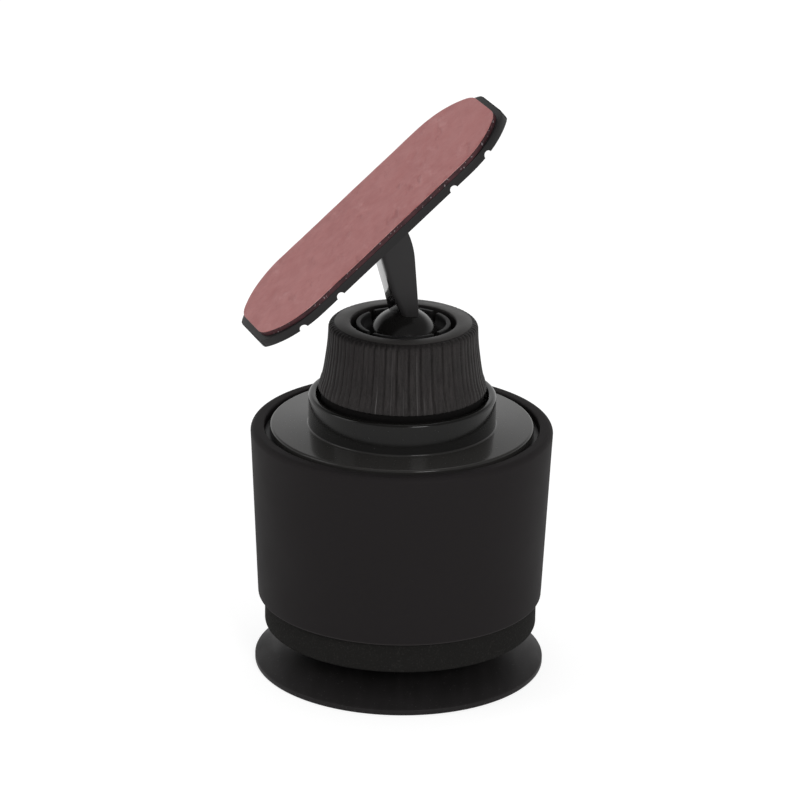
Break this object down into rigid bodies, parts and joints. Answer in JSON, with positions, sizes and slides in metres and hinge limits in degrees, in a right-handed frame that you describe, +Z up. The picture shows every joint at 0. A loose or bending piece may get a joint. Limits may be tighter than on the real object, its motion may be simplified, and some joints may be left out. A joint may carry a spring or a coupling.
{
  "type": "suction cup phone holder",
  "caption": "Round suction-cup phone holder with a lift-to-release housing, a clamped ball joint with a ribbed nut, and a curved arm carrying an oval stick-on plate.",
  "frame": {"origin": "centre of the suction cup's sealing circle, on the surface that it is stuck to", "axes": "+Z up through the housing, the nut and the ball; +X to the right and +Y away from the viewer in the pictured view, with the plate's lower end towards -X"},
  "size_m": [0.0745, 0.0726, 0.1388],
  "materials": {
    "cup_rubber": "smooth soft black, slightly dull",
    "inner_plastic": "plain moulded black",
    "steel": "bright zinc-plated",
    "foam": "matt black closed-cell foam with a fine grain",
    "soft_touch": "soft-touch coat, smooth and matt",
    "gloss_black": "glossy black",
    "satin_black": "satin black with a faint sheen",
    "nylon": "natural nylon",
    "pad_foam": "dark adhesive foam",
    "liner_film": "dusty pink film with a slight sheen and faint wrinkles"
  },
  "bodies": {
    "base": {"suction_cup": "cup_rubber", "vacuum_hub": "inner_plastic", "stop_washer": "steel", "stop_screws": "steel"},
    "housing": {"base_plate": "inner_plastic", "base_screws": "steel", "foam_ring": "foam", "return_spring": "steel", "valve_plug": "cup_rubber", "inner_shell": "inner_plastic", "outer_sleeve": "soft_touch", "top_cap": "gloss_black", "cap_screws": "steel", "ball_socket": "satin_black", "socket_screws": "steel"},
    "ring": {"compression_ring": "satin_black"},
    "nut": {"clamp_nut": "satin_black"},
    "seat": {"ball_seat": "nylon"},
    "ball": {"ball": "gloss_black"},
    "holder": {"arm": "satin_black", "ball_screw": "steel", "mounting_plate": "satin_black", "plate_screws": "steel", "adhesive_pad": "pad_foam", "release_liner": "liner_film"}
  },
  "joints": [
    {"name": "lift_release", "type": "slide", "parent": "base", "child": "housing", "axis": [0, 0, 1], "range_m": [0, 0.002], "stiffness_N_per_m": 400, "springref_m": -0.005, "deforming": ["return_spring"]},
    {"name": "nut_travel", "type": "slide", "parent": "housing", "child": "ring", "axis": [0, 0, 1], "range_m": [0, 0.0015]},
    {"name": "nut_turn", "type": "hinge", "parent": "ring", "child": "nut", "pos_m": [0, 0, 0.0814], "axis": [0, 0, 1], "range_deg": [0, 360]},
    {"name": "pan", "type": "hinge", "parent": "housing", "child": "seat", "pos_m": [0, 0, 0.0814], "axis": [0, 0, 1], "continuous": true},
    {"name": "tilt", "type": "hinge", "parent": "seat", "child": "ball", "pos_m": [0, 0, 0.0814], "axis": [-0.3387, 0.9409, 0], "range_deg": [-32, 32]},
    {"name": "spin", "type": "hinge", "parent": "ball", "child": "holder", "pos_m": [0, 0, 0.0814], "axis": [0, 0, 1], "continuous": true}
  ],
  "couplings": [
    {"joint": "nut_travel", "follows": "nut_turn", "m_per_rad": 0.00023873}
  ]
}
